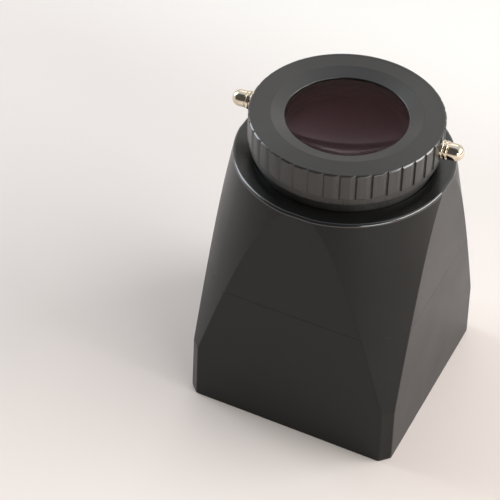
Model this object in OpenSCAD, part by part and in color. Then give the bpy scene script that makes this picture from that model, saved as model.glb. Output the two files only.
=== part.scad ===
// Stand loupe for medium-format film, about three times magnification.
// Millimetres, +Z up. The origin is the centre of the base, which lies on the film.
// The plain front face looks along -Y. The skirt plugs into the housing from below,
// the lens cell slides in the housing's barrel, and the focus ring turns on the cell.

/* [Body] */
// Width across the base
body_w = 67.3; // [64:0.1:76]
// Leg of the chamfer at each corner of the base
base_chamfer = 2.95; // [2:0.05:5]
// Height of the body, from the base to the rim
rim_z = 84; // [82:0.2:92]
// Width of the shoulder between the knurled ring and the rim
shoulder_w = 4; // [3.6:0.1:5]
// Lean of the four flat faces, in degrees
flat_draft = 1.2; // [0.8:0.1:1.4]
// Lean of the four corner chamfers, in degrees
corner_draft = 1.6; // [1.2:0.1:2.2]
// Height at which the corner chamfers run out into the cone
chamfer_z = 18.8; // [12:0.2:26]
// Lean of the round cone, in degrees
cone_draft = 11.4; // [10.5:0.1:12.5]
// How far the cone's side is hollowed at half its height
cone_hollow = 0.3; // [0:0.05:0.5]
// Radius of the rounding along the rim
rim_round = 0.9; // [0.4:0.1:1.4]
// Wall of the skirt and the housing
wall = 2.2; // [1.8:0.1:2.4]
// Thickness of the housing's top
roof_t = 3.8; // [3.6:0.1:5]

/* [Skirt plug] */
// Height of the seam between skirt and housing
seam_z = 46.2; // [36:0.2:52]
// Height of the plug that stands in the housing
plug_h = 5; // [4:0.2:7]
// Wall of the plug
plug_wall = 1.8; // [1.6:0.1:2.4]
// Gap between plug and housing
plug_gap = 0.2; // [0.15:0.05:0.35]
// Depth of the thick zone below the seam that carries the plug
plug_root = 3; // [2:0.2:5]
// Length of each rubber pad on the plug
pad_l = 20; // [12:1:28]
// Height of each rubber pad
pad_h = 2.4; // [1.6:0.2:3]
// Depth of the pocket that holds each pad
pad_pocket = 0.8; // [0.5:0.1:1]
// Gap between pad and housing
pad_gap = 0.05; // [0.03:0.01:0.1]

/* [Focus ring] */
// Wall of the knurled ring round the cell's head
ring_wall = 3.35; // [3:0.05:4]
// Height of the dark neck between the rim and the ring
neck_h = 3.1; // [3.1:0.1:5]
// Height of the plain band under the knurl
band_h = 2.4; // [1.5:0.1:4]
// How far the plain band is set in from the knurl
band_step = 0.5; // [0.2:0.1:0.8]
// Height of the knurled band
knurl_h = 8.5; // [8:0.1:11]
// Number of knurl grooves
knurl_n = 39; // [24:1:60]
// Width of a knurl groove
knurl_w = 0.5; // [0.3:0.05:0.9]
// Depth of a knurl groove
knurl_depth = 0.5; // [0.3:0.05:0.7]
// Bevel along the ring's top edge
ring_bevel = 0.35; // [0.2:0.05:0.6]
// Wall of the sleeve
sleeve_wall = 2.3; // [2:0.1:2.5]
// Thickness of the lip inside the ring
lip_t = 1.2; // [1:0.1:1.6]
// Gap between the cap and the bezel
cap_gap = 0.35; // [0.3:0.05:0.5]
// Width of the ledge that seats the cap
cap_seat = 2; // [1.5:0.1:2.4]
// Thickness of the cap
cap_t = 1.4; // [1.2:0.1:1.8]
// Thickness of the washer between lip and cell
washer_t = 0.5; // [0.4:0.1:0.8]

/* [Focus travel] */
// How far the ring goes down from rest
travel_down = 2.5; // [1.5:0.1:2.6]
// How far the ring goes up from rest
travel_up = 1.5; // [1:0.1:2]

/* [Lens cell] */
// Clear diameter of the bezel's opening
eye_d = 35.3; // [32:0.1:38]
// How far the bezel covers the glass
lens_hold = 1.35; // [1:0.05:2]
// Wall of the cell
cell_wall = 1.9; // [1.8:0.05:2]
// Wall of the cell's round head, which the ring turns on
journal_wall = 3.2; // [2.6:0.05:3.6]
// Height of the cell's round head
journal_h = 3.45; // [3.2:0.05:3.6]
// Depth of the thread that holds the bezel, in the round head
bezel_seat = 2.7; // [2.4:0.1:2.9]
// Wall of the bezel beside the glass
bezel_wall = 2.3; // [2:0.05:2.6]
// How far the bezel's inner edge lies below the top
bezel_drop = 1.2; // [0.9:0.1:1.6]
// Width of the ledge that carries a lens
ledge_w = 1.25; // [1:0.05:1.6]
// Thickness of the ledge under the doublet
ledge_t = 1.5; // [1.2:0.1:2]
// Height of the retaining ring under the field lens
retainer_h = 3; // [2:0.2:4]
// Width of the two slots in the retaining ring
retainer_slot = 1.2; // [0.8:0.1:1.6]

/* [Glass] */
// Depth of the crown lens's crest below the top
apex_drop = 0.8; // [0.6:0.05:1]
// Radius of the crown lens's upper face
crown_r = 90; // [80:1:120]
// Radius of the cemented face
cement_r = 47.3; // [44:0.1:55]
// Edge thickness of the crown lens
crown_edge = 1.4; // [1:0.1:1.6]
// Middle thickness of the flint lens
flint_t = 2.4; // [2:0.1:3]
// Radius of the flint lens's lower face
flint_r = 200; // [150:5:300]
// Radius of both faces of the field lens
field_r = 170; // [140:5:220]
// Edge thickness of the field lens
field_edge = 2; // [1.6:0.1:2.6]
// Length of the spacer between the doublet's ledge and the field lens
spacer_l = 12.4; // [10:0.1:13]

/* [Barrel] */
// Wall of the barrel
barrel_wall = 2.4; // [2.2:0.1:2.5]
// Thickness of the barrel's flange
flange_t = 2.5; // [2:0.1:3]
// Depth from the rim to the flange's seat
seat_depth = 8.3; // [7.8:0.1:9]
// Length of the barrel below its flange
barrel_tail = 7; // [6.4:0.2:8]
// Wall of the collar round the sleeve, inside the housing
collar_wall = 1.8; // [1.4:0.1:2]
// Radius of the four bosses for the flange screws
boss_r = 2.6; // [2.2:0.1:2.8]

/* [Strap studs] */
// Turn of the studs' axis from the X axis, in degrees
stud_turn = 5; // [-20:1:20]
// Height of the studs' axis above the plain band
stud_rise = 4.1; // [3.6:0.1:4.6]
// Diameter of a stud's ball
ball_d = 5; // [4:0.1:5.2]
// Reach of the ball's centre beyond the ring
ball_reach = 4.2; // [4:0.1:6]
// How far the collar at a stud's foot stands out past the ball
collar_over = 0.2; // [0.2:0.05:0.4]
// Depth of the grooves behind a stud's ball
neck_depth = 0.3; // [0.2:0.05:0.6]
// Diameter of a stud's threaded shank
shank_d = 3; // [2:0.1:3.2]
// Depth of the flat that seats the collar
spot_depth = 0.25; // [0.2:0.05:0.4]

/* [Fasteners] */
// Diameter of the flange screws
screw_d = 2; // [1.6:0.1:2.2]
// Head diameter of the flange screws
screw_head_d = 3.8; // [3.2:0.1:4]
// Length of the flange screws under the head
screw_l = 6; // [5:0.2:6.6]
// Diameter of the guide screws
guide_d = 1.6; // [1.4:0.1:2]
// Head diameter of the guide screws
guide_head_d = 3; // [2.6:0.1:3.4]
// Thickness of the screw heads
head_t = 1; // [0.8:0.1:1.3]
// Depth of the guide slots in the cell
slot_depth = 1.2; // [1:0.05:1.3]

/* [Seal] */
// Height of the felt seal
felt_h = 1.4; // [1:0.1:1.6]
// Depth of the groove that holds the felt
felt_groove = 1; // [0.8:0.1:1.2]

/* [Clearances] */
// Radial gap of a piece that turns or slides on another
run_gap = 0.05; // [0.03:0.01:0.1]
// Radial gap of a thread or of a piece that another passes
free_gap = 0.3; // [0.3:0.05:0.5]
// Gap between the sleeve and the hole in the housing
hole_gap = 0.6; // [0.5:0.05:0.8]

/* [Hidden] */
$fn = 96;
eps = 0.5;

// Body: half widths at the base, and the cone's radius at any height
flat_x = body_w / 2;
corner_x = (body_w - base_chamfer) / sqrt(2);
function hollow(z) = 4 * cone_hollow * (rim_z - z) * (z - chamfer_z) / pow(rim_z - chamfer_z, 2);
function cone_r(z) = rim_r + (rim_z - z) * tan(cone_draft) - max(0, hollow(z));
function flat_at(z) = flat_x - z * tan(flat_draft);
roof_z = rim_z - roof_t;
seat_z = rim_z - seat_depth;
plug_in = wall + plug_gap;
plug_bore = plug_in + plug_wall;
plug_top = seam_z + plug_h;

// Radii, from the glass outwards
thread_gap = 0.05;
lens_r = eye_d / 2 + lens_hold;
ledge_r = lens_r - ledge_w;
bore_r = lens_r + run_gap;
cell_r = bore_r + cell_wall;
barrel_bore = cell_r + run_gap;
barrel_r = barrel_bore + barrel_wall;
sleeve_bore = barrel_r + free_gap;
sleeve_r = sleeve_bore + sleeve_wall;
hole_r = sleeve_r + hole_gap;
lip_bore = cell_r + 2 * free_gap;
bezel_r = bore_r + bezel_wall;
journal_r = bezel_r + thread_gap + journal_wall;
cap_bore = bezel_r + cap_gap;
cap_r = journal_r + cap_seat;
ring_r = journal_r + run_gap + ring_wall;
rim_r = ring_r + shoulder_w;

// Ring heights, from the rim up, then down from the top
end_play = 0.1;
sleeve_drop = 1;
ring_z = rim_z + neck_h;
knurl_z = ring_z + band_h;
top_z = knurl_z + knurl_h;
cap_z = top_z - cap_t;
journal_top = cap_z - end_play;
journal_z = journal_top - journal_h;
washer_z = journal_z - run_gap - washer_t;
lip_z = washer_z - lip_t;
sleeve_z = seat_z + travel_down + sleeve_drop;
ring_phase = -5.2;

// Barrel and cell heights, from the flange's seat down
cell_drop = 1;
barrel_top = lip_z - travel_down - free_gap;
flange_z = seat_z - flange_t;
barrel_z = flange_z - barrel_tail;
flange_r = cone_r(seat_z) - wall - free_gap;
flange_half = flat_at(seat_z) - wall - free_gap;
cell_z = barrel_z - cell_drop;
bezel_z = journal_top - bezel_seat;

// Studs
stud_skin = 0.7;
spot_gap = 0.15;
stud_z = knurl_z + stud_rise;
shank_foot = journal_r + run_gap + stud_skin;
ball_r = ball_d / 2;
collar_r = ball_r + collar_over;

// Glass heights, from the top down
function sag(r, h) = r - sqrt(r * r - h * h);
crown_apex = top_z - apex_drop;
crown_rim = crown_apex - sag(crown_r, lens_r);
cement_rim = crown_rim - crown_edge;
cement_apex = cement_rim - sag(cement_r, lens_r);
flint_apex = cement_apex - flint_t;
ledge_top = flint_apex + sag(flint_r, ledge_r);
ledge_z = ledge_top - ledge_t;
field_top = ledge_z - spacer_l + sag(field_r, ledge_r);
field_low = field_top - field_edge - 2 * sag(field_r, lens_r);
gasket_t = 0.24;
gasket_top = crown_apex - sag(crown_r, eye_d / 2) + gasket_t;
face_n = 12;

// Screw places
screw_r = (sleeve_r + hole_gap + flange_r) / 2;
guide_z = barrel_z + barrel_tail / 2;
guide_n = 3;
slot_r = guide_d / 2 + run_gap;
slot_floor = cell_r - slot_depth;
guide_tip = slot_floor + free_gap;
felt_lift = 1;
felt_z = roof_z + felt_lift;
screw_gap = 0.1;
tap_spare = 0.5;

module tube(r_out, r_in, z0, z1) {
  translate([0, 0, z0]) difference() {
    cylinder(r = r_out, h = z1 - z0);
    translate([0, 0, -eps]) cylinder(r = r_in, h = z1 - z0 + 2 * eps);
  }
}

// A half space beyond a leaning face, for cutting a flat side
module beyond(x, lean, span = 120) {
  translate([x, 0, 0]) rotate([0, -lean, 0]) translate([0, -span / 2, -span / 2])
    cube([span / 2, span, 2 * span]);
}

// The square-to-round form between two heights, set in by inset on every side
module body_form(z0, z1, inset = 0, round = 0) {
  side_n = 8;
  arc_n = 6;
  side_top = z1 - round;
  side = [for (i = [0 : side_n]) let (z = z0 + (side_top - z0) * i / side_n) [cone_r(z) - inset, z]];
  arc = [
    for (i = [1 : round > 0 ? arc_n : 0]) let (a = 90 * i / arc_n)
      [cone_r(side_top) - inset - round + round * cos(a), side_top + round * sin(a)]
  ];
  difference() {
    rotate_extrude() polygon(concat([[0, z0]], side, arc, [[0, z1]]));
    for (a = [0 : 90 : 270]) rotate([0, 0, a]) {
      beyond(flat_x - inset, flat_draft);
      rotate([0, 0, 45]) beyond(corner_x - inset, corner_draft);
    }
  }
}

// One pad on each flat side of the plug, from its foot outwards to the given inset
module on_plug_sides(foot, inset) {
  for (a = [0 : 90 : 270]) rotate([0, 0, a]) translate([flat_x, 0, 0])
    rotate([0, -flat_draft, 0])
      translate([-foot, -pad_l / 2, seam_z + (plug_h - pad_h) / 2])
        cube([foot - inset, pad_l, pad_h]);
}

module skirt() {
  color("#1c1b1a") difference() {
    union() {
      body_form(0, seam_z);
      body_form(seam_z - plug_root, plug_top, plug_in);
    }
    body_form(-eps, seam_z - plug_root, wall);
    body_form(seam_z - plug_root - eps, plug_top + eps, plug_bore);
    on_plug_sides(plug_in + pad_pocket, 0);
  }
}

module skirt_pads() {
  color("#2b2a29") on_plug_sides(plug_in + pad_pocket, wall + pad_gap);
}

// Places on the four diagonals where the flange is screwed to the housing
module at_bosses() {
  for (a = [45 : 90 : 315]) rotate([0, 0, a]) translate([screw_r, 0, 0]) children();
}

module housing() {
  screw_depth = screw_l - flange_t + tap_spare;
  color("#1c1b1a") difference() {
    body_form(seam_z, rim_z, 0, rim_round);
    difference() {
      body_form(seam_z - eps, roof_z, wall);
      tube(hole_r + collar_wall, 0, seat_z, rim_z);
      at_bosses() translate([0, 0, seat_z]) cylinder(r = boss_r, h = seat_depth);
    }
    translate([0, 0, seat_z - eps]) cylinder(r = hole_r, h = seat_depth + 2 * eps);
    translate([0, 0, felt_z]) cylinder(r = hole_r + felt_groove, h = felt_h);
    at_bosses() translate([0, 0, seat_z - eps]) cylinder(d = screw_d, h = screw_depth + eps);
  }
}

// The guide screws' three directions
module at_guides() {
  for (i = [0 : guide_n - 1]) rotate([0, 0, 90 + 360 * i / guide_n])
    translate([0, 0, guide_z]) rotate([0, 90, 0]) children();
}

module barrel() {
  color("#3a3a3c") difference() {
    union() {
      translate([0, 0, barrel_z]) cylinder(r = barrel_r, h = barrel_top - barrel_z);
      translate([0, 0, flange_z]) intersection() {
        cylinder(r = flange_r, h = flange_t);
        translate([-flange_half, -flange_half, 0])
          cube([2 * flange_half, 2 * flange_half, flange_t]);
      }
    }
    translate([0, 0, barrel_z - eps]) cylinder(r = barrel_bore, h = barrel_top - barrel_z + 2 * eps);
    at_bosses() translate([0, 0, flange_z - eps])
      cylinder(d = screw_d + 2 * screw_gap, h = flange_t + 2 * eps);
    at_guides() cylinder(d = guide_d, h = barrel_r + eps);
  }
}

module barrel_screws() {
  drive = 0.5;
  color("#8c8c90") at_bosses() difference() {
    union() {
      translate([0, 0, flange_z]) cylinder(d = screw_d, h = screw_l);
      translate([0, 0, flange_z - head_t]) cylinder(d = screw_head_d, h = head_t);
    }
    translate([-screw_head_d, -drive / 2, flange_z - head_t - eps])
      cube([2 * screw_head_d, drive, drive + eps]);
  }
}

module guide_screws() {
  drive = 0.4;
  color("#8c8c90") at_guides() difference() {
    union() {
      translate([0, 0, guide_tip]) cylinder(d = guide_d, h = barrel_r - guide_tip + head_t);
      translate([0, 0, barrel_r]) cylinder(d = guide_head_d, h = head_t);
    }
    translate([-guide_head_d, -drive / 2, barrel_r + head_t - drive])
      cube([2 * guide_head_d, drive, drive + eps]);
  }
}

module felt_seal() {
  color("#26231f") tube(hole_r + felt_groove, sleeve_r + run_gap, felt_z, felt_z + felt_h);
}

module lens_cell() {
  slot_low = guide_z - travel_up - run_gap;
  slot_high = guide_z + travel_down + run_gap;
  color("#2e2e30") difference() {
    union() {
      translate([0, 0, cell_z]) cylinder(r = cell_r, h = journal_top - cell_z);
      translate([0, 0, journal_z]) cylinder(r = journal_r, h = journal_h);
    }
    translate([0, 0, cell_z - eps]) cylinder(r = ledge_r, h = top_z - cell_z);
    translate([0, 0, cell_z - eps]) cylinder(r = bore_r, h = ledge_z - cell_z + eps);
    translate([0, 0, ledge_top]) cylinder(r = bore_r, h = top_z - ledge_top);
    translate([0, 0, bezel_z]) cylinder(r = bezel_r + thread_gap, h = top_z - bezel_z);
    for (i = [0 : guide_n - 1]) rotate([0, 0, 90 + 360 * i / guide_n]) {
      translate([slot_floor, -slot_r, slot_low]) cube([slot_depth + eps, 2 * slot_r, slot_high - slot_low]);
      for (z = [slot_low, slot_high]) translate([slot_floor, 0, z]) rotate([0, 90, 0])
        cylinder(r = slot_r, h = slot_depth + eps);
    }
  }
}

// Points along a lens face from the axis to the edge; bulge is 1 for a crest, -1 for a trough
function lens_face(apex, r, bulge) = [
  for (i = [0 : face_n]) let (x = lens_r * i / face_n) [x, apex - bulge * sag(r, x)]
];

function reversed(list) = [for (i = [len(list) - 1 : -1 : 0]) list[i]];

// A round lens between its upper and its lower face
module lens_body(upper, lower) {
  rotate_extrude() polygon(concat(upper, reversed(lower)));
}

module crown_lens() {
  color("#40303a") lens_body(lens_face(crown_apex, crown_r, 1), lens_face(cement_apex, cement_r, -1));
}

module flint_lens() {
  color("#4a4650") lens_body(lens_face(cement_apex, cement_r, -1), lens_face(flint_apex, flint_r, -1));
}

module lens_spacer() {
  color("#2e2e30") tube(lens_r, ledge_r, ledge_z - spacer_l, ledge_z);
}

module field_lens() {
  color("#4a4650") lens_body(lens_face(field_top, field_r, 1), lens_face(field_low, field_r, -1));
}

module lens_retainer() {
  z1 = field_low + sag(field_r, ledge_r);
  z0 = z1 - retainer_h;
  color("#2e2e30") difference() {
    tube(lens_r, ledge_r, z0, z1);
    translate([-lens_r - eps, -retainer_slot / 2, z0 - eps])
      cube([2 * lens_r + 2 * eps, retainer_slot, retainer_h / 2 + eps]);
  }
}

module lens_gasket() {
  eye_r = eye_d / 2;
  color("#151515") rotate_extrude() polygon([
    [eye_r, crown_apex - sag(crown_r, eye_r)], [lens_r, crown_rim], [lens_r, gasket_top],
    [eye_r, gasket_top]
  ]);
}

module bezel_ring() {
  color("#5a5856") rotate_extrude() polygon([
    [bore_r, bezel_z], [bezel_r, bezel_z], [bezel_r, top_z],
    [eye_d / 2, top_z - bezel_drop], [eye_d / 2, gasket_top], [bore_r, gasket_top]
  ]);
}

// The studs' two directions, with the stud's axis turned to +Z
module at_stud(side) {
  translate([0, 0, stud_z]) rotate([0, 0, stud_turn + side]) rotate([0, 90, 0]) children();
}

module focus_ring() {
  band_r = ring_r - band_step;
  color("#3b3937") difference() {
    rotate_extrude() polygon([
      [sleeve_bore, sleeve_z], [sleeve_r, sleeve_z], [sleeve_r, ring_z], [band_r, ring_z],
      [band_r, knurl_z], [ring_r, knurl_z], [ring_r, top_z - ring_bevel],
      [ring_r - ring_bevel, top_z], [cap_r, top_z], [cap_r, cap_z],
      [journal_r + run_gap, cap_z], [journal_r + run_gap, washer_z], [lip_bore, washer_z],
      [lip_bore, lip_z], [sleeve_bore, lip_z]
    ]);
    for (i = [0 : knurl_n - 1]) rotate([0, 0, ring_phase + 360 * i / knurl_n])
      translate([ring_r - knurl_depth, -knurl_w / 2, knurl_z])
        cube([knurl_depth + eps, knurl_w, knurl_h + eps]);
    for (side = [0, 180]) at_stud(side) {
      translate([0, 0, ring_r - spot_depth]) cylinder(r = collar_r + spot_gap, h = ball_reach);
      translate([0, 0, shank_foot]) cylinder(d = shank_d, h = ball_reach);
    }
  }
}

module thrust_washer() {
  color("#b08d4a") tube(journal_r - run_gap, lip_bore + run_gap, washer_z, washer_z + washer_t);
}

module ring_cap() {
  color("#4a4744") tube(cap_r, cap_bore, cap_z, top_z);
}

// A ball-ended strap stud: shank, collar, groove, shoulder, groove, then the ball
module strap_stud() {
  seat = ring_r - spot_depth;
  ball = ring_r + ball_reach;
  collar_t = 1.05;
  groove_t = 0.3;
  shoulder_t = 0.9;
  shoulder_z = seat + collar_t + groove_t;
  neck = shoulder_z + shoulder_t + groove_t;
  groove_r = ball_r - neck_depth;
  arc_n = 12;
  arc = [for (i = [0 : arc_n]) let (a = 90 * i / arc_n) [ball_r * cos(a), ball + ball_r * sin(a)]];
  color("#cfc8bd") rotate_extrude() polygon(concat(
    [
      [0, shank_foot], [shank_d / 2, shank_foot], [shank_d / 2, seat], [collar_r, seat],
      [collar_r, seat + collar_t], [groove_r, seat + collar_t], [groove_r, shoulder_z],
      [collar_r, shoulder_z], [collar_r, neck - groove_t], [groove_r, neck - groove_t],
      [groove_r, neck], [ball_r, neck]
    ],
    arc
  ));
}

module stud_left() {
  at_stud(180) strap_stud();
}

module stud_right() {
  at_stud(0) strap_stud();
}

skirt();
skirt_pads();
housing();
barrel();
barrel_screws();
guide_screws();
felt_seal();
lens_cell();
crown_lens();
flint_lens();
lens_spacer();
field_lens();
lens_retainer();
lens_gasket();
bezel_ring();
focus_ring();
thrust_washer();
ring_cap();
stud_left();
stud_right();
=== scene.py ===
import math
import bpy
import numpy as np
from mathutils import Matrix, Vector


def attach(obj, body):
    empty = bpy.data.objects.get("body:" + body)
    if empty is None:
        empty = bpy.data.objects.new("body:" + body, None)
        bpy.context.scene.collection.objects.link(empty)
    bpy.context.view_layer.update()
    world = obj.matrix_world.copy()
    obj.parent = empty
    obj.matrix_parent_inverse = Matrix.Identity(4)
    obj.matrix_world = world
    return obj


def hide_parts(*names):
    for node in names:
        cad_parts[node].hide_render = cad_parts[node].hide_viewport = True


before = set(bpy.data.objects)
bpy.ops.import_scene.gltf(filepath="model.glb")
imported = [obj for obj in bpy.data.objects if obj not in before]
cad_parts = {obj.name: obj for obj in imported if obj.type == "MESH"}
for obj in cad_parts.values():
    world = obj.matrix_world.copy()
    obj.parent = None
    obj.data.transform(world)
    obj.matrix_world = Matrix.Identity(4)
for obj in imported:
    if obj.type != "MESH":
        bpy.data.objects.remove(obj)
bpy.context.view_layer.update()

# Lengths are millimetres in the CAD frame, +Z up, and become metres when a mesh is made.
# Most sizes repeat the CAD's. An R is a radius, a BORE an inner radius and a Z a height.
MM = 0.001

# Body: how far flats and corners are from the axis at the foot, and how both lean in
FLAT_X = 33.65
FLAT_LEAN = math.tan(math.radians(1.2))
CORNER_X = 45.502
CORNER_LEAN = math.tan(math.radians(1.6))

# Cone that the body turns into; the corner chamfers run out at CHAMFER_Z
RIM_R = 32.0
RIM_Z = 84.0
RIM_ROUND = 0.9
CONE_LEAN = math.tan(math.radians(11.4))
CONE_HOLLOW = 0.3
CHAMFER_Z = 18.8

# Edges between flats and cone, outside and inside, and the roundings along seam, foot and openings
EDGE = 0.7
INNER_EDGE = 1.2
SEAM_ROUND = 0.07
FOOT_ROUND = 0.35
INNER_ROUND = 0.3
HOLE_ROUND = 0.2

# Skirt: its wall, and the plug that goes up into the housing; IN and BORE are distances in from the faces
WALL = 2.2
SEAM_Z = 46.2
ROOT_Z = 43.2
PLUG_TOP = 51.2
PLUG_IN = 2.4
PLUG_BORE = 4.2
PLUG_LEAD = 0.6
PLUG_MOUTH = 0.25

# Housing's top: the hole with its felt groove, the collar under it and the bosses for the screws
HOLE_R = 26.6
FELT_R = 27.6
FELT_Z = 81.2
FELT_H = 1.4
ROOF_Z = 80.2
SEAT_Z = 75.7
COLLAR_R = 28.4
BOSS_R = 2.6
BOSS_N = 4
SCREW_AT = 28.82

# Focus ring, from the sleeve up to the ledge for the cap
SLEEVE_R = 26.0
SLEEVE_BORE = 23.7
SLEEVE_Z = 79.2
RING_Z = 87.1
RING_R = 28.0
RING_BEVEL = 0.42
TOP_Z = 98.0
LIP_BORE = 21.55
LIP_Z = 91.3
WASHER_Z = 92.5
JOURNAL_BORE = 24.65
CAP_Z = 96.6
CAP_R = 26.6
CAP_BORE = 21.67

# Knurl: grooves as (along, out of the floor) points, then a flat rib that rolls off towards the next groove
KNURL_Z = 89.5
KNURL_N = 39
KNURL_PHASE = math.radians(-5.2)
KNURL_FLOOR = 27.5
PITCH = 2 * math.pi * RING_R / KNURL_N
GROOVE = ((0.0, 0.0), (0.12, 0.0), (0.18, 0.04), (0.235, 0.26), (0.26, 0.40), (0.30, 0.465), (0.37, 0.495))
RIB_R = RING_R - 0.005
RIB_FLAT = 0.6
RIB_ROLL = 0.42
ROLL_POWER = 1.6

# Bezel and eye opening
BEZEL_R = 21.35
BEZEL_BORE = 19.05
BEZEL_Z = 93.8
BEZEL_GAP = 0.02
EYE_R = 17.65
EYE_DROP = 1.2
GASKET_TOP = 95.692

# Lenses: crests and radii of curvature; the doublet's two pieces have a thin gap between them
LENS_R = 19.0
DOME_R = 17.6
DOME_APEX = 96.75
DOME_CURVE = 600.0
DOME_SHOULDER = 95.1
CEMENT_APEX = 91.4
CEMENT_CURVE = 76.0
CEMENT_GAP = 0.02
LOW_APEX = 85.77
LOW_CURVE = 66.5
FIELD_TOP = 75.206
FIELD_LOW = 71.076
FIELD_CURVE = 170.0

# Strap studs: the ball's centre stands STUD_REACH out of the ring
STUD_Z = 93.6
STUD_TURN = 5.0
STUD_FOOT = 25.35
STUD_SINK = 0.25
STUD_REACH = 4.19
SHANK_R = 1.5
BALL_R = 2.5
STUD_COLLAR_R = 2.7
NECK_R = 2.2


# Mesh tools
def new_piece(name, points, faces, body, replaced, material):
    """A smooth-shaded mesh piece from points in millimetres."""
    mesh = bpy.data.meshes.new(name)
    mesh.from_pydata((np.asarray(points, float) * MM).tolist(), [], faces)
    mesh.validate()
    mesh.polygons.foreach_set("use_smooth", np.ones(len(mesh.polygons), bool))
    mesh.materials.append(material)
    piece = bpy.data.objects.new(name, mesh)
    bpy.context.scene.collection.objects.link(piece)
    weighted = piece.modifiers.new("even_normals", "WEIGHTED_NORMAL")
    weighted.weight = 50
    weighted.keep_sharp = True
    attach(piece, body)
    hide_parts(*replaced)
    return piece


def more_finishes(piece, materials, choose):
    """Adds materials; choose picks one for each face from its radius, its height and how far it looks up."""
    for material in materials:
        piece.data.materials.append(material)
    for face in piece.data.polygons:
        r = math.hypot(face.center.x, face.center.y) / MM
        face.material_index = choose(r, face.center.z / MM, face.normal.z)


def loft_faces(rings, columns, closed=True):
    """Quads between successive rings; closed joins the last ring to the first."""
    faces = []
    last = rings if closed else rings - 1
    for i in range(last):
        a, b = i * columns, (i + 1) % rings * columns
        for j in range(columns):
            k = (j + 1) % columns
            faces.append((a + j, a + k, b + k, b + j))
    return faces


def rounded(corners, steps=4):
    """A closed outline of (x, z, radius) corners with each corner turned into an arc."""
    nearly_straight = math.radians(89)
    most_of_side = 0.45
    out = []
    count = len(corners)
    for i in range(count):
        p = np.array(corners[i][:2], float)
        u = np.array(corners[i - 1][:2], float) - p
        w = np.array(corners[(i + 1) % count][:2], float) - p
        radius = corners[i][2]
        u_long, w_long = np.linalg.norm(u), np.linalg.norm(w)
        u, w = u / u_long, w / w_long
        half = math.acos(max(-1.0, min(1.0, float(u @ w)))) / 2
        if radius <= 0 or half > nearly_straight:
            out.append(tuple(p))
            continue
        reach = min(radius / math.tan(half), most_of_side * u_long, most_of_side * w_long)
        radius = reach * math.tan(half)
        bisector = (u + w) / np.linalg.norm(u + w)
        centre = p + bisector * radius / math.sin(half)
        a, b = p + u * reach - centre, p + w * reach - centre
        turn = math.acos(max(-1.0, min(1.0, float(a @ b) / radius ** 2)))
        for s in range(steps + 1):
            t = s / steps
            arc = (math.sin((1 - t) * turn) * a + math.sin(t * turn) * b) / math.sin(turn)
            out.append(tuple(centre + arc))
    return out


def lathe_rings(profile, columns):
    """Rings of points about Z from (radius, z) pairs."""
    a = np.arange(columns) * 2 * math.pi / columns
    return np.array([np.stack([r * np.cos(a), r * np.sin(a), np.full(columns, z)], 1) for r, z in profile])


def lathe(name, profile, body, replaced, material):
    """A ring-shaped piece whose closed profile doesn't touch the axis."""
    columns = 288
    rings = lathe_rings(profile, columns)
    faces = loft_faces(len(rings), columns)
    return new_piece(name, rings.reshape(-1, 3), faces, body, replaced, material)


def capped_lathe(profile, columns):
    """Points and faces of a turned solid; the profile starts and ends on the axis."""
    rings = lathe_rings(profile[1:-1], columns)
    points = rings.reshape(-1, 3).tolist()
    faces = loft_faces(len(rings), columns, closed=False)
    foot, tip = len(points), len(points) + 1
    points += [[0, 0, profile[0][1]], [0, 0, profile[-1][1]]]
    last = (len(rings) - 1) * columns
    for j in range(columns):
        k = (j + 1) % columns
        faces.append((foot, k, j))
        faces.append((last + j, last + k, tip))
    return np.array(points), faces


# The square-to-round form, which repeats every eighth of a turn, mirrored
EIGHTH = math.pi / 4


def soft_min(a, b, width):
    """The smaller of two values, blended where they differ by less than width."""
    near = np.maximum(width - np.abs(a - b), 0) / width
    return np.minimum(a, b) - near * near * width / 4


def cone_r(z):
    """Radius of the slightly hollow cone at height z."""
    hollow = 4 * CONE_HOLLOW * (RIM_Z - z) * (z - CHAMFER_Z) / (RIM_Z - CHAMFER_Z) ** 2
    return RIM_R + (RIM_Z - z) * CONE_LEAN - max(0.0, hollow)


def flat_x(z, inset):
    """Distance of a flat face from the axis."""
    return FLAT_X - inset - z * FLAT_LEAN


def corner_x(z, inset):
    """Distance of a corner chamfer from the axis."""
    return CORNER_X - inset - z * CORNER_LEAN


def edge_angle(z, inset):
    """Half the angle that a flat face spans at height z."""
    flat = flat_x(z, inset)
    chamfer = math.atan((corner_x(z, inset) * math.sqrt(2) - flat) / flat)
    meet = min(cone_r(z) - inset, flat / math.cos(chamfer))
    return math.acos(min(1.0, flat / meet))


def eased(a, b, n):
    """n steps from a to b, closer together at both ends, without the last one."""
    return [a + (b - a) * (1 - math.cos(math.pi * i / n)) / 2 for i in range(n)]


def body_angles(z, inset, edge):
    """Column angles round the body, crowded along the edges of the flat faces."""
    flat_columns, edge_columns, corner_columns = 14, 6, 14
    least, margin = 0.002, 1.15
    mid = edge_angle(z, inset)
    slope = math.hypot(math.tan(mid), CONE_LEAN)
    half = max(edge * slope / 2 / cone_r(z), least) * margin
    a = min(max(mid - half, 2 * least), EIGHTH - 10 * least)
    b = min(max(mid + half, a + least), EIGHTH - 5 * least)
    octant = eased(0, a, flat_columns)
    octant += [a + (b - a) * i / edge_columns for i in range(edge_columns)]
    octant = np.array(octant + eased(b, EIGHTH, corner_columns))
    back = np.concatenate([[EIGHTH], octant[:0:-1]])
    pair = np.concatenate([octant, 2 * EIGHTH - back])
    return np.concatenate([pair + 2 * EIGHTH * i for i in range(4)])


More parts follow.
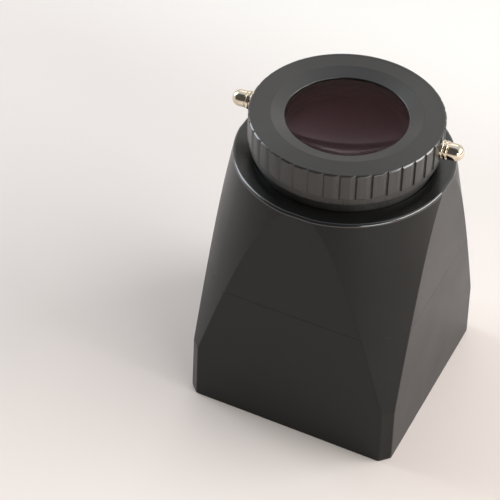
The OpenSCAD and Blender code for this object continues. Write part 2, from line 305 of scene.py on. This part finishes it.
def body_radius(angles, z, inset, edge):
    """Radius of the body at those angles, with its edges rounded to about the edge radius."""
    corner_blend, slope_blend = 0.06, 0.3
    a = np.abs((angles + EIGHTH) % (2 * EIGHTH) - EIGHTH)
    flat = flat_x(z, inset) / np.cos(a)
    cone = np.full_like(a, cone_r(z) - inset)
    plane = corner_x(z, inset) / np.cos(EIGHTH - a)
    corner = soft_min(cone, plane, corner_blend)
    by_plane = np.clip((cone - plane) / slope_blend, 0, 1)
    cone_slope = np.tan(a) ** 2 + (CONE_LEAN - FLAT_LEAN) ** 2
    plane_slope = (np.tan(a) + np.tan(EIGHTH - a)) ** 2
    slope = cone_slope * (1 - by_plane) + plane_slope * by_plane
    return soft_min(flat, corner, edge * slope / 2)


def round_ring(r, z, angles):
    """A ring of points at height z; r is one radius, or one for each angle."""
    return np.stack([r * np.cos(angles), r * np.sin(angles), np.full(len(angles), z)], 1)


def body_ring(z, inset, edge, pull=0.0, at=None):
    """A ring of the body form at height z; pull draws it in, and at takes the form from another height."""
    form_z = z if at is None else at
    angles = body_angles(form_z, inset, edge)
    return round_ring(body_radius(angles, form_z, inset, edge) - pull, z, angles)


def spread(a, b, step):
    """Even steps of about that size from a to b, without a itself."""
    n = max(1, int(round((b - a) / step)))
    return [a + (b - a) * (i + 1) / n for i in range(n)]


def wall_rings(low, high, inset, edge, down=False):
    """Rings on a wall between two heights, denser where the chamfers run out and near the rim."""
    bounds = (low, CHAMFER_Z - 0.2, CHAMFER_Z + 1.8, RIM_Z - 6, high)
    heights = []
    for a, b, step in zip(bounds, bounds[1:], (1.6, 0.2, 1.3, 0.45)):
        a, b = max(a, low), min(b, high)
        if b > a:
            heights += spread(a, b, step)
    heights.pop()
    return [body_ring(z, inset, edge) for z in (heights[::-1] if down else heights)]


def arc_steps(radius, steps, from_wall=True):
    """(across, along) steps round a quarter round, from the wall or towards it."""
    out = []
    for i in range(steps + 1):
        a = math.pi / 2 * i / steps
        out.append((radius * (1 - math.cos(a)), radius * math.sin(a)))
    return out if from_wall else out[::-1]


def edge_rings(z, radius, inset, edge, steps=3, top=True, inside=False, from_wall=True):
    """Rings round the edge where a wall ends at height z."""
    out = []
    for across, along in arc_steps(radius, steps, from_wall):
        level = z - (radius - along) if top else z + (radius - along)
        out.append(body_ring(level, inset, edge, -across if inside else across))
    return out


def inner_corner(z, reach, cut):
    """Rings from a ceiling at height z to the wall, with a cut across the corner."""
    return [body_ring(z, WALL, INNER_EDGE, reach), body_ring(z - cut, WALL, INNER_EDGE, cut)]


def skirt_rings():
    """The skirt's skin: up the outside and the plug, then down the inside."""
    nick = 0.02
    rings = edge_rings(0, FOOT_ROUND, 0, EDGE, 4, top=False, from_wall=False)
    rings += wall_rings(FOOT_ROUND, SEAM_Z - SEAM_ROUND, 0, EDGE)
    rings += edge_rings(SEAM_Z, SEAM_ROUND, 0, EDGE)
    # shoulder, plug and lead-in
    for share in (1 / 3, 2 / 3, 15 / 16):
        rings.append(body_ring(SEAM_Z, 0, EDGE, PLUG_IN * share))
    rings.append(body_ring(SEAM_Z + nick, PLUG_IN, EDGE, -nick))
    for share in (0.03, 0.28, 0.56, 0.8):
        rings.append(body_ring(SEAM_Z + (PLUG_TOP - SEAM_Z) * share, PLUG_IN, EDGE))
    rings += edge_rings(PLUG_TOP, PLUG_LEAD, PLUG_IN, EDGE, 4)
    rings += edge_rings(PLUG_TOP, PLUG_MOUTH, PLUG_BORE, INNER_EDGE, inside=True, from_wall=False)
    # inside: down the plug, out under the root, down the wall
    for share in (3 / 16, 7 / 16, 3 / 4, 15 / 16):
        rings.append(body_ring(PLUG_TOP - (PLUG_TOP - ROOT_Z) * share, PLUG_BORE, INNER_EDGE))
    rings += edge_rings(ROOT_Z, INNER_ROUND, PLUG_BORE, INNER_EDGE, top=False, inside=True)
    rings += inner_corner(ROOT_Z, 0.5, 0.1)
    rings += wall_rings(INNER_ROUND, ROOT_Z - 0.8, WALL, INNER_EDGE, down=True)
    rings += edge_rings(0, INNER_ROUND, WALL, INNER_EDGE, top=False, inside=True)
    return rings


def housing_rings():
    """The housing's skin: up the outside, over the rim and down the hole, then down the inside."""
    side_top = RIM_Z - RIM_ROUND
    foot_round = 0.2
    rings = edge_rings(SEAM_Z, SEAM_ROUND, 0, EDGE, top=False, from_wall=False)
    rings += wall_rings(SEAM_Z + SEAM_ROUND, side_top, 0, EDGE)
    for across, along in arc_steps(RIM_ROUND, 9):
        rings.append(body_ring(side_top + along, 0, EDGE, across, at=side_top))
    angles = body_angles(side_top, 0, EDGE)
    outline = rings[-1]
    hole = round_ring(HOLE_R + HOLE_ROUND, RIM_Z, angles)
    for share in (0.06, 0.3, 0.65, 0.9):
        rings.append(outline * (1 - share) + hole * share)
    for across, along in arc_steps(HOLE_ROUND, 4, from_wall=False):
        rings.append(round_ring(HOLE_R + across, RIM_Z - HOLE_ROUND + along, angles))
    # the hole with its felt groove, then the collar under the top
    felt_top = FELT_Z + FELT_H
    cut, bevel = 0.1, 0.2
    for r, z in ((HOLE_R, felt_top + cut), (HOLE_R + cut, felt_top), (FELT_R, felt_top), (FELT_R, FELT_Z),
                 (HOLE_R + cut, FELT_Z), (HOLE_R, FELT_Z - cut), (HOLE_R, SEAT_Z + bevel),
                 (HOLE_R + bevel, SEAT_Z), (COLLAR_R - bevel, SEAT_Z), (COLLAR_R, SEAT_Z + bevel),
                 (COLLAR_R, ROOF_Z - bevel), (COLLAR_R + bevel, ROOF_Z)):
        rings.append(round_ring(r, z, angles))
    rings += inner_corner(ROOF_Z, 0.6, 0.15)
    rings += wall_rings(SEAM_Z + foot_round, ROOF_Z - 0.6, WALL, INNER_EDGE, down=True)
    rings += edge_rings(SEAM_Z, foot_round, WALL, INNER_EDGE, top=False, inside=True)
    return rings


def shell(name, rings, body, replaced, material, extra=()):
    """A piece whose skin goes through all the rings and back to the first; extra adds (points, faces)."""
    points = np.concatenate(rings)
    faces = loft_faces(len(rings), len(rings[0]))
    for more_points, more_faces in extra:
        first = len(points)
        points = np.concatenate([points, more_points])
        faces += [tuple(first + i for i in face) for face in more_faces]
    return new_piece(name, points, faces, body, replaced, material)


# Materials
def nodes_of(name):
    """A new material, its node tree and its shader."""
    material = bpy.data.materials.new(name)
    material.use_nodes = True
    tree = material.node_tree
    return material, tree, tree.nodes["Principled BSDF"]


def add(tree, kind, inputs=None, **settings):
    """A new node; each input is a value or another node's output."""
    node = tree.nodes.new(kind)
    for key, value in settings.items():
        setattr(node, key, value)
    for key, value in (inputs or {}).items():
        socket = node.inputs[key]
        if isinstance(value, bpy.types.NodeSocket):
            tree.links.new(value, socket)
        else:
            socket.default_value = value
    return node


def math_node(tree, operation, *values):
    return add(tree, "ShaderNodeMath", dict(enumerate(values)), operation=operation).outputs[0]


def noise(tree, where, scale, detail=2.0, rough=0.5):
    return add(tree, "ShaderNodeTexNoise", {"Vector": where, "Scale": scale, "Detail": detail,
                                            "Roughness": rough}).outputs["Fac"]


def ranged(tree, value, low, high, start=0.3, end=0.7, blend="LINEAR"):
    """Goes from low to high as value goes from start to end."""
    return add(tree, "ShaderNodeMapRange", {"Value": value, "From Min": start, "From Max": end, "To Min": low,
                                            "To Max": high}, interpolation_type=blend).outputs[0]


def dot(tree, vector, direction):
    node = add(tree, "ShaderNodeVectorMath", {0: vector, 1: direction}, operation="DOT_PRODUCT")
    return node.outputs["Value"]


def tinted(tree, factor, first, second):
    """A mix of two colours, each given as numbers or as another node's output."""
    inputs = {"Factor": factor}
    for key, colour in (("A", first), ("B", second)):
        inputs[key] = colour if isinstance(colour, bpy.types.NodeSocket) else (*colour, 1)
    return add(tree, "ShaderNodeMix", inputs, data_type="RGBA").outputs["Result"]


def bump(tree, height, distance, after=None):
    """Relief from a height, on top of the relief given as after."""
    inputs = {"Height": height, "Distance": distance, "Strength": 1.0}
    if after is not None:
        inputs["Normal"] = after
    return add(tree, "ShaderNodeBump", inputs).outputs[0]


def object_place(tree):
    return add(tree, "ShaderNodeTexCoord").outputs["Object"]


def moulded(name, dark, light, rough, level, grain=0.00001):
    """Black moulded plastic: fine grain, faint clouding and slightly uneven gloss."""
    material, tree, shader = nodes_of(name)
    place = object_place(tree)
    cloud = noise(tree, place, 60.0, 3.0)
    fine = noise(tree, place, 4200.0)
    tree.links.new(tinted(tree, ranged(tree, cloud, 0, 1), dark, light), shader.inputs["Base Color"])
    gloss = math_node(tree, "ADD", ranged(tree, cloud, rough - 0.025, rough + 0.025),
                      ranged(tree, fine, -0.03, 0.03))
    tree.links.new(gloss, shader.inputs["Roughness"])
    tree.links.new(bump(tree, fine, grain), shader.inputs["Normal"])
    shader.inputs["Specular IOR Level"].default_value = level
    return material


def turned(name, dark, light, rough, metallic=0.0, level=0.5, streak=0.0, stretch=0.0):
    """Turned metal: fine rings on faces across the axis and fine straight streaks along round walls.

    streak is how much of the tint is cloud instead of marks, and stretch how far the gloss is drawn out.
    """
    groove, speck_depth = 0.000004, 0.000003
    material, tree, shader = nodes_of(name)
    place = object_place(tree)
    parts = add(tree, "ShaderNodeSeparateXYZ", {0: place}).outputs
    squared = math_node(tree, "ADD", math_node(tree, "MULTIPLY", parts[0], parts[0]),
                        math_node(tree, "MULTIPLY", parts[1], parts[1]))
    radius = math_node(tree, "SQRT", squared)
    across = add(tree, "ShaderNodeTexNoise", {"W": radius, "Scale": 9000.0, "Detail": 2.0},
                 noise_dimensions="1D").outputs["Fac"]
    drawn = add(tree, "ShaderNodeVectorMath", {0: place, 1: (1, 1, 0.03)}, operation="MULTIPLY").outputs[0]
    along = noise(tree, drawn, 2600.0, 3.0, 0.6)
    normal = add(tree, "ShaderNodeNewGeometry").outputs["True Normal"]
    up = math_node(tree, "ABSOLUTE", add(tree, "ShaderNodeSeparateXYZ", {0: normal}).outputs[2])
    marks = add(tree, "ShaderNodeMix", {"Factor": ranged(tree, up, 0, 1, 0.4, 0.6), "A": along, "B": across},
                data_type="FLOAT").outputs["Result"]
    cloud = noise(tree, place, 90.0, 3.0)
    speck = noise(tree, place, 5200.0)
    shade = math_node(tree, "ADD", ranged(tree, cloud, 0.5 - streak, 0.5 + streak),
                      ranged(tree, marks, -0.5 + streak, 0.5 - streak))
    tree.links.new(tinted(tree, shade, dark, light), shader.inputs["Base Color"])
    gloss = math_node(tree, "ADD", ranged(tree, cloud, rough - 0.02, rough + 0.02),
                      ranged(tree, marks, -0.05, 0.05))
    tree.links.new(gloss, shader.inputs["Roughness"])
    tree.links.new(bump(tree, speck, speck_depth, bump(tree, marks, groove)), shader.inputs["Normal"])
    shader.inputs["Metallic"].default_value = metallic
    shader.inputs["Specular IOR Level"].default_value = level
    shader.inputs["Anisotropic"].default_value = stretch
    if stretch:
        tangent = add(tree, "ShaderNodeTangent", direction_type="RADIAL", axis="Z")
        tree.links.new(tangent.outputs[0], shader.inputs["Tangent"])
        shader.inputs["Anisotropic Rotation"].default_value = 0.25
    return material


def polished(name, dark, light, rough):
    """Bright metal with faint polishing marks."""
    material, tree, shader = nodes_of(name)
    place = object_place(tree)
    cloud = noise(tree, place, 500.0, 3.0)
    marks = noise(tree, place, 6000.0, 3.0, 0.6)
    tree.links.new(tinted(tree, ranged(tree, cloud, 0, 1), dark, light), shader.inputs["Base Color"])
    tree.links.new(ranged(tree, marks, rough * 0.7, rough * 1.4), shader.inputs["Roughness"])
    tree.links.new(bump(tree, marks, 0.0000012), shader.inputs["Normal"])
    shader.inputs["Metallic"].default_value = 1.0
    return material


def matte(name, dark, light, size, depth, rough=0.95, level=0.5):
    """Felt, rubber or paint: a rough surface with fine relief."""
    material, tree, shader = nodes_of(name)
    place = object_place(tree)
    fine = noise(tree, place, size, 5.0, 0.7)
    tree.links.new(tinted(tree, ranged(tree, fine, 0, 1), dark, light), shader.inputs["Base Color"])
    tree.links.new(ranged(tree, fine, rough - 0.1, rough), shader.inputs["Roughness"])
    tree.links.new(bump(tree, fine, depth), shader.inputs["Normal"])
    shader.inputs["Specular IOR Level"].default_value = level
    return material


def glass(name, tint, reflection, ior):
    """Coated glass: a low index stands for the coating, which takes most of the reflection away."""
    material, tree, shader = nodes_of(name)
    marks = noise(tree, object_place(tree), 700.0, 4.0, 0.65)
    lighter = [min(1.0, part * 1.02) for part in tint]
    colour = tinted(tree, ranged(tree, marks, 0, 1, 0.2, 0.8), tint, lighter)
    tree.links.new(colour, shader.inputs["Base Color"])
    shader.inputs["Roughness"].default_value = 0.0
    shader.inputs["Transmission Weight"].default_value = 1.0
    shader.inputs["IOR"].default_value = ior
    shader.inputs["Specular Tint"].default_value = (*reflection, 1)
    return material


PLASTIC = (0.0065, 0.0062, 0.006), (0.0085, 0.0082, 0.0078)
ANODISED = (0.010, 0.0092, 0.0088), (0.034, 0.032, 0.030)
FLINT_TINT = (0.78, 0.72, 0.98)

BODY = moulded("body_plastic", *PLASTIC, rough=0.33, level=0.27)
BODY_TOP = moulded("body_shoulder", *PLASTIC, rough=0.3, level=0.45)
BODY_RIM = moulded("body_rim", (0.008, 0.008, 0.008), (0.011, 0.011, 0.011), rough=0.13, level=1.0,
                   grain=0.000002)
RING = turned("ring_anodised", ANODISED[0], (0.030, 0.0285, 0.027), rough=0.38, level=0.45,
              streak=0.15, stretch=0.7)
RIB = turned("rib_anodised", *ANODISED, rough=0.32, level=0.66, streak=0.15, stretch=0.7)
EDGE_RUBBED = turned("rubbed_edge", *ANODISED, rough=0.2, level=1.0, streak=0.15, stretch=0.4)
BEZEL = turned("bezel_anodised", (0.005, 0.0047, 0.0043), (0.015, 0.014, 0.0132), rough=0.34, level=0.8,
               streak=0.15, stretch=0.5)
INNER = turned("inner_anodised", (0.004, 0.004, 0.004), (0.008, 0.008, 0.008), rough=0.7, level=0.1)
STEEL = turned("screw_steel", (0.42, 0.42, 0.43), (0.55, 0.55, 0.56), rough=0.28, metallic=1.0)
BRASS = turned("washer_brass", (0.55, 0.38, 0.15), (0.7, 0.5, 0.22), rough=0.3, metallic=1.0)
NICKEL = polished("stud_nickel", (0.68, 0.58, 0.44), (0.84, 0.76, 0.63), rough=0.07)
RUBBER = matte("pad_rubber", (0.015, 0.015, 0.015), (0.025, 0.025, 0.024), 3000.0, 0.00002, rough=0.8)
FELT = matte("felt", (0.02, 0.018, 0.016), (0.05, 0.046, 0.04), 5000.0, 0.00008)
EDGE_PAINT = matte("lens_edge_paint", (0.004, 0.004, 0.004), (0.007, 0.007, 0.007), 3000.0, 0.000004,
                   level=0.05)
COATED = glass("coated_glass", (0.86, 0.74, 0.74), (1.0, 0.0, 0.0), 1.17)
COATED_LOW = glass("coated_glass_low", (0.96, 0.93, 0.94), (0.9, 0.25, 0.45), 1.2)
CEMENTED = glass("cemented_glass", FLINT_TINT, (0.2, 0.1, 0.1), 1.02)
FLINT_LOW = glass("flint_glass_low", FLINT_TINT, (0.1, 0.25, 1.0), 1.06)
CLEAR = glass("clear_glass", (0.96, 0.97, 0.96), (0.6, 0.6, 1.0), 1.1)


# Body shells
def bosses():
    """Points and faces of the screw bosses under the housing's top."""
    bevel, sunk = 0.15, 0.3
    top = ROOF_Z + sunk
    profile = [(0, SEAT_Z), (BOSS_R - bevel, SEAT_Z), (BOSS_R, SEAT_Z + bevel), (BOSS_R, top), (0, top)]
    points, faces = capped_lathe(profile, 32)
    out = []
    for i in range(BOSS_N):
        a = EIGHTH + i * 2 * math.pi / BOSS_N
        out.append((points + [SCREW_AT * math.cos(a), SCREW_AT * math.sin(a), 0], faces))
    return out


def housing_finish(r, z, up):
    """1 on the flat shoulder, 2 on the rounded rim, 0 elsewhere."""
    if z <= RIM_Z - RIM_ROUND or r <= HOLE_R - 0.1:
        return 0
    return 1 if up > 0.99 else 2


shell("skirt_shell", skirt_rings(), "skirt", ["skirt"], BODY)
housing = shell("housing_shell", housing_rings(), "housing", ["housing"], BODY, bosses())
more_finishes(housing, (BODY_TOP, BODY_RIM), housing_finish)


# Knurled ring
def rib_columns():
    """Angles and radii of the knurl's columns; each rib is full at first and rolls off to its far end."""
    one = [(t, KNURL_FLOOR + out) for t, out in GROOVE]
    flat_end = RIB_FLAT * PITCH
    one += [(t, RIB_R) for t in (0.5, 1.1, 1.9, flat_end)]
    for share in (0.12, 0.28, 0.46, 0.64, 0.82, 0.96):
        one.append((flat_end + (PITCH - flat_end) * share, RIB_R - RIB_ROLL * share ** ROLL_POWER))
    angles, radii = [], []
    for i in range(KNURL_N):
        for t, r in one:
            angles.append(KNURL_PHASE + (i * PITCH + t) / RING_R)
            radii.append(r)
    return np.array(angles), np.array(radii)


def knurled_ring():
    """The focus ring: its skin goes up the outside from the sleeve and down the bore."""
    angles, ribs = rib_columns()
    cut, bevel = 0.1, 0.2
    ledge_r = CAP_R + 0.005
    bevel_r = RING_R - RING_BEVEL
    rings = []
    # sleeve, then the plain band with its rounded lower edge
    for r, z in ((SLEEVE_BORE + bevel, SLEEVE_Z), (SLEEVE_R - bevel, SLEEVE_Z), (SLEEVE_R, SLEEVE_Z + bevel),
                 (SLEEVE_R, SLEEVE_Z + 1), (SLEEVE_R, RING_Z - 1), (SLEEVE_R, RING_Z - cut),
                 (SLEEVE_R + cut, RING_Z)):
        rings.append(round_ring(r, z, angles))
    for back, rise in ((0.3, 0), (0.15, 0.02), (0.04, 0.1), (0, 0.25), (0, 0.5)):
        rings.append(round_ring(KNURL_FLOOR - back, RING_Z + rise, angles))
    for drop in (0.3, 0.04):
        rings.append(round_ring(KNURL_FLOOR, KNURL_Z - drop, angles))
    # underside and wall of the knurl, then the bevel along the top edge
    for back, rise in ((0.45, 0), (0.14, 0), (0.05, 0.04), (0, 0.14), (0, 0.4), (0, 4.0)):
        rings.append(round_ring(np.minimum(ribs, RING_R - back), KNURL_Z + rise, angles))
    for drop in (0.6, 0.42, 0.36, 0.3, 0.22, 0.14, 0.06, 0.03):
        rings.append(round_ring(np.minimum(ribs, bevel_r + drop), TOP_Z - drop, angles))
    for back in (0.03, 0.15):
        rings.append(round_ring(np.minimum(ribs, bevel_r - back), TOP_Z, angles))
    # top face, the ledge for the cap, and down the bore
    for r, z in ((RING_R - 0.8, TOP_Z), (CAP_R + 0.2, TOP_Z), (ledge_r + 0.01, TOP_Z),
                 (ledge_r, TOP_Z - 0.01), (ledge_r, TOP_Z - 0.3), (ledge_r, CAP_Z),
                 (JOURNAL_BORE + cut, CAP_Z), (JOURNAL_BORE, CAP_Z - cut), (JOURNAL_BORE, WASHER_Z),
                 (LIP_BORE + cut, WASHER_Z),
                 (LIP_BORE, WASHER_Z - cut), (LIP_BORE, LIP_Z + cut), (LIP_BORE + cut, LIP_Z),
                 (SLEEVE_BORE, LIP_Z), (SLEEVE_BORE, LIP_Z - 1), (SLEEVE_BORE, SLEEVE_Z + bevel)):
        rings.append(round_ring(r, z, angles))
    return shell("knurled_ring", rings, "focus_ring", ["focus_ring"], RING)


def ring_finish(r, z, up):
    """1 on the band and the ribs, 2 on the rubbed edge along the top, 0 elsewhere."""
    if z <= RING_Z or up >= 0.9:
        return 0
    return 2 if z > TOP_Z - 1 and up > 0.4 else 1


more_finishes(knurled_ring(), (RIB, EDGE_RUBBED), ring_finish)

# Cap and bezel
cap = rounded([(CAP_BORE, CAP_Z, 0.08), (CAP_R, CAP_Z, 0.08), (CAP_R, TOP_Z, 0.01), (CAP_BORE, TOP_Z, 0.01)])
lathe("cap_ring", cap, "focus_ring", ["ring_cap"], RING)


def bezel_finish(r, z, up):
    """1 below the eye's edge, 2 on that edge, 0 on the cone."""
    if z < TOP_Z - EYE_DROP - 0.1:
        return 1
    return 2 if r < EYE_R + 0.13 else 0


flange_z = CAP_Z + 0.1
cone_foot_r = CAP_BORE - BEZEL_GAP
bezel = rounded([(BEZEL_BORE, BEZEL_Z, 0.1), (BEZEL_R, BEZEL_Z, 0.1), (BEZEL_R, flange_z, 0.05),
                 (cone_foot_r, flange_z, 0.05), (cone_foot_r, TOP_Z, 0.01), (EYE_R, TOP_Z - EYE_DROP, 0.16),
                 (EYE_R, GASKET_TOP, 0.05), (BEZEL_BORE, GASKET_TOP, 0.05)], 5)
bezel_cone = lathe("bezel_cone", bezel, "lens_cell", ["bezel_ring"], BEZEL)
more_finishes(bezel_cone, (INNER, EDGE_RUBBED), bezel_finish)


# Glass
def sag(curve, r):
    """How far a sphere has fallen away at radius r; a hollow face has a negative curve."""
    return curve - math.copysign(math.sqrt(curve * curve - r * r), curve)


def radii_to(reach, steps):
    """Even radii from the axis to reach."""
    return [reach * i / steps for i in range(steps + 1)]


def lens_finish(r, z, up):
    """1 on the lower face, 2 on the painted edge, 0 on the upper face."""
    if r > DOME_R or (r > DOME_R - 0.1 and abs(up) < 0.5):
        return 2
    return 1 if up < 0 else 0


def lens(name, low, low_curve, high, high_curve, replaced, finishes, dome_r=None, shoulder=None):
    """A round lens from the lower crest up, with spheres for faces and a ground edge.

    With dome_r and shoulder its upper face is narrower than the lens and stands on a flat shoulder.
    finishes are those of its upper and lower face.
    """
    steps, bevel, side = 26, 0.15, 0.5
    top_r = reach = LENS_R - bevel
    low_edge = low + sag(low_curve, reach)
    high_edge = shoulder or high - sag(high_curve, reach)
    profile = [(r, low + sag(low_curve, r)) for r in radii_to(reach, steps)]
    profile += [(LENS_R, low_edge + bevel), (LENS_R, low_edge + side), (LENS_R, high_edge - side),
                (LENS_R, high_edge - bevel)]
    if dome_r:
        lip, cut, wall = 0.04, 0.1, 0.2
        top_r = dome_r - lip
        rim = high - sag(high_curve, top_r)
        profile += [(reach, shoulder), (dome_r + cut, shoulder), (dome_r, shoulder + cut),
                    (dome_r, rim - wall), (dome_r, rim - lip)]
    profile += [(r, high - sag(high_curve, r)) for r in radii_to(top_r, steps)[::-1]]
    points, faces = capped_lathe(profile, 144)
    piece = new_piece(name, points, faces, "lens_cell", replaced, finishes[0])
    more_finishes(piece, (finishes[1], EDGE_PAINT), lens_finish)


lens("crown_glass", CEMENT_APEX, CEMENT_CURVE, DOME_APEX, DOME_CURVE, ["crown_lens"],
     (COATED, COATED_LOW), DOME_R, DOME_SHOULDER)
lens("flint_glass", LOW_APEX, LOW_CURVE, CEMENT_APEX - CEMENT_GAP, -CEMENT_CURVE,
     ["flint_lens"], (CEMENTED, FLINT_LOW))
lens("field_glass", FIELD_LOW, FIELD_CURVE, FIELD_TOP, FIELD_CURVE, ["field_lens"],
     (CLEAR, CLEAR))


# Strap studs
def stud(name, side, replaced):
    """A stud turned about its own axis: shank, collar, groove, shoulder, groove and ball."""
    collar, groove, shoulder, axis_gap = 1.05, 0.3, 0.9, 0.01
    seat = RING_R - STUD_SINK
    ball = RING_R + STUD_REACH
    collar_top = seat + collar
    shoulder_low = collar_top + groove
    shoulder_top = shoulder_low + shoulder
    neck = shoulder_top + groove
    outline = [(axis_gap, STUD_FOOT, 0), (SHANK_R, STUD_FOOT, 0.15), (SHANK_R, seat, 0.05),
               (STUD_COLLAR_R, seat, 0.1), (STUD_COLLAR_R, collar_top, 0.25), (NECK_R, collar_top, 0.08),
               (NECK_R, shoulder_low, 0.08), (STUD_COLLAR_R, shoulder_low, 0.2),
               (STUD_COLLAR_R, shoulder_top, 0.2), (NECK_R, shoulder_top, 0.08), (NECK_R, neck, 0.08),
               (BALL_R, neck, 0.25), (BALL_R, ball, 0), (axis_gap, ball, 0)]
    profile = [(0, STUD_FOOT)] + [p for p in rounded(outline, 5) if p[0] > 2 * axis_gap]
    steps = 20
    for i in range(1, steps):
        a = math.pi / 2 * i / steps
        profile.append((BALL_R * math.cos(a), ball + BALL_R * math.sin(a)))
    profile.append((0, ball + BALL_R))
    points, faces = capped_lathe(profile, 64)
    turn = Matrix.Rotation(math.radians(STUD_TURN + side), 3, "Z") @ Matrix.Rotation(math.pi / 2, 3, "Y")
    points = points @ np.array(turn).T + [0, 0, STUD_Z]
    new_piece(name, points, faces, "focus_ring", replaced, NICKEL)


stud("ball_stud_left", 180, ["stud_left"])
stud("ball_stud_right", 0, ["stud_right"])

# CAD nodes that stay, with their finishes
for node, material in {"skirt_pads": RUBBER, "lens_gasket": RUBBER, "felt_seal": FELT, "barrel": INNER,
                       "lens_cell": INNER, "lens_spacer": INNER, "lens_retainer": INNER,
                       "barrel_screws": STEEL, "guide_screws": STEEL, "thrust_washer": BRASS}.items():
    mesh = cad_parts[node].data
    mesh.materials.clear()
    mesh.materials.append(material)


# Stage, in metres and degrees
def heading(azimuth, elevation=0.0):
    """Unit vector at that azimuth and elevation."""
    a, e = math.radians(azimuth), math.radians(elevation)
    return (math.cos(e) * math.cos(a), math.cos(e) * math.sin(a), math.sin(e))


def floor_material():
    """Plain pale floor, a little cooler on the left and lighter towards the back."""
    material, tree, shader = nodes_of("pale_floor")
    place = object_place(tree)

    def along(azimuth, start, end):
        """From 0 to 1 between those distances along that azimuth."""
        return ranged(tree, dot(tree, place, heading(azimuth)), 0, 1, start, end, "SMOOTHSTEP")

    cool = math_node(tree, "MAXIMUM", along(116, -0.01, 0.08), along(180, 0.07, 0.13))
    near = tinted(tree, cool, (0.84, 0.757, 0.71), (0.78, 0.725, 0.69))
    colour = tinted(tree, along(90, 0.09, 0.18), near, (0.87, 0.84, 0.80))
    tree.links.new(colour, shader.inputs["Base Color"])
    shader.inputs["Roughness"].default_value = 0.7
    return material


bpy.ops.mesh.primitive_plane_add(size=6, location=(0, 0, 0))
floor = bpy.context.object
floor.name = "floor"
floor.data.materials.append(floor_material())

AIM = Vector((0, 0, 0.07))


def soft_box(name, azimuth, elevation, half_width, half_height, level, colour):
    """A soft box one metre from AIM that spans those angles; level is its brightness, where 1 is white."""
    wide, high = 2 * math.tan(math.radians(half_width)), 2 * math.tan(math.radians(half_height))
    place = AIM + Vector(heading(azimuth, elevation))
    light = bpy.data.lights.new(name, "AREA")
    light.shape = "RECTANGLE"
    light.size, light.size_y = wide, high
    light.energy = math.pi * wide * high * level
    light.color = colour
    lamp = bpy.data.objects.new(name, light)
    bpy.context.scene.collection.objects.link(lamp)
    lamp.location = place
    lamp.rotation_euler = (place - AIM).to_track_quat("Z", "Y").to_euler()


soft_box("soft_right", 16, 29, 26, 12, 7.2, (1.0, 0.98, 0.97))
soft_box("soft_right_front", -35, 12, 14, 12, 5.5, (0.97, 1.0, 0.92))
soft_box("soft_left", 177, 28, 12, 22, 4.4, (0.84, 0.92, 1.0))


# Azimuths of the screen's right and left edge
SCREEN = (89, 132)


def studio_world():
    """Soft white room: dimmer on the camera's side, with a broad white screen behind the loupe."""
    up = (0, 0, 1)
    front = heading(-90, 32)
    from_right = heading(SCREEN[0] + 90)
    from_left = heading(SCREEN[1] - 90)
    room, screen_extra, skyline_extra, gap_loss = 0.78, 0.85, 0.45, 0.7
    world = bpy.data.worlds.new("studio")
    world.use_nodes = True
    bpy.context.scene.world = world
    tree = world.node_tree
    background = tree.nodes["Background"]
    toward = add(tree, "ShaderNodeTexCoord").outputs["Generated"]

    def side(direction, start, end, low=0, high=1):
        """From low to high as the cosine to that direction goes from start to end."""
        return ranged(tree, dot(tree, toward, direction), low, high, start, end)

    def times(a, b):
        return math_node(tree, "MULTIPLY", a, b)

    # the screen stands between two azimuths, with a darker gap and a bright skyline under it
    wide = times(side(from_left, -0.02, 0.06), side(from_right, -0.02, 0.06))
    high = times(side(up, 0.31, 0.34), side(up, 0.77, 0.85, 1, 0))
    screen = times(times(wide, high), side(from_left, 0.1, 0.4, 0.5, 1))
    gap = times(wide, times(side(up, 0.1, 0.15), side(up, 0.31, 0.34, 1, 0)))
    skyline = times(wide, side(up, 0.08, 0.12, 1, 0))
    lit = math_node(tree, "MULTIPLY_ADD", screen, screen_extra, room)
    lit = math_node(tree, "MULTIPLY_ADD", skyline, skyline_extra, lit)
    lit = times(lit, math_node(tree, "MULTIPLY_ADD", gap, -gap_loss, 1.0))
    tree.links.new(times(side(front, 0.42, 0.68, 1, 0.12), lit), background.inputs["Strength"])
    tree.links.new(tinted(tree, side(up, 0.7, 1.0), (1.0, 0.985, 0.965), (0.93, 0.98, 1.06)),
                   background.inputs["Color"])


studio_world()


def place_camera():
    """The camera at the photograph's place, found by fitting the loupe's edges to the photo's."""
    turn, tilt, roll = math.radians(25.681), math.radians(42.4282), math.radians(1.2156)
    distance, shift_x, target_z, lens_mm = 569.579, -26.55, 44.7885, 136.631
    back = Vector((math.sin(turn) * math.cos(tilt), -math.cos(turn) * math.cos(tilt), math.sin(tilt)))
    right = Vector((math.cos(turn), math.sin(turn), 0))
    up = back.cross(right)
    right, up = (math.cos(roll) * right + math.sin(roll) * up, -math.sin(roll) * right + math.cos(roll) * up)
    target = Vector((math.cos(turn) * shift_x, math.sin(turn) * shift_x, target_z))
    data = bpy.data.cameras.new("camera")
    data.sensor_fit = "HORIZONTAL"
    data.sensor_width = 36.0
    data.lens = lens_mm
    data.clip_start, data.clip_end = 0.01, 20.0
    camera = bpy.data.objects.new("camera", data)
    bpy.context.scene.collection.objects.link(camera)
    place = (target + back * distance) * MM
    rotation = Matrix((right, up, back)).transposed().to_4x4()
    camera.matrix_world = Matrix.Translation(place) @ rotation
    bpy.context.scene.camera = camera


place_camera()
bpy.context.scene.view_settings.view_transform = "Standard"
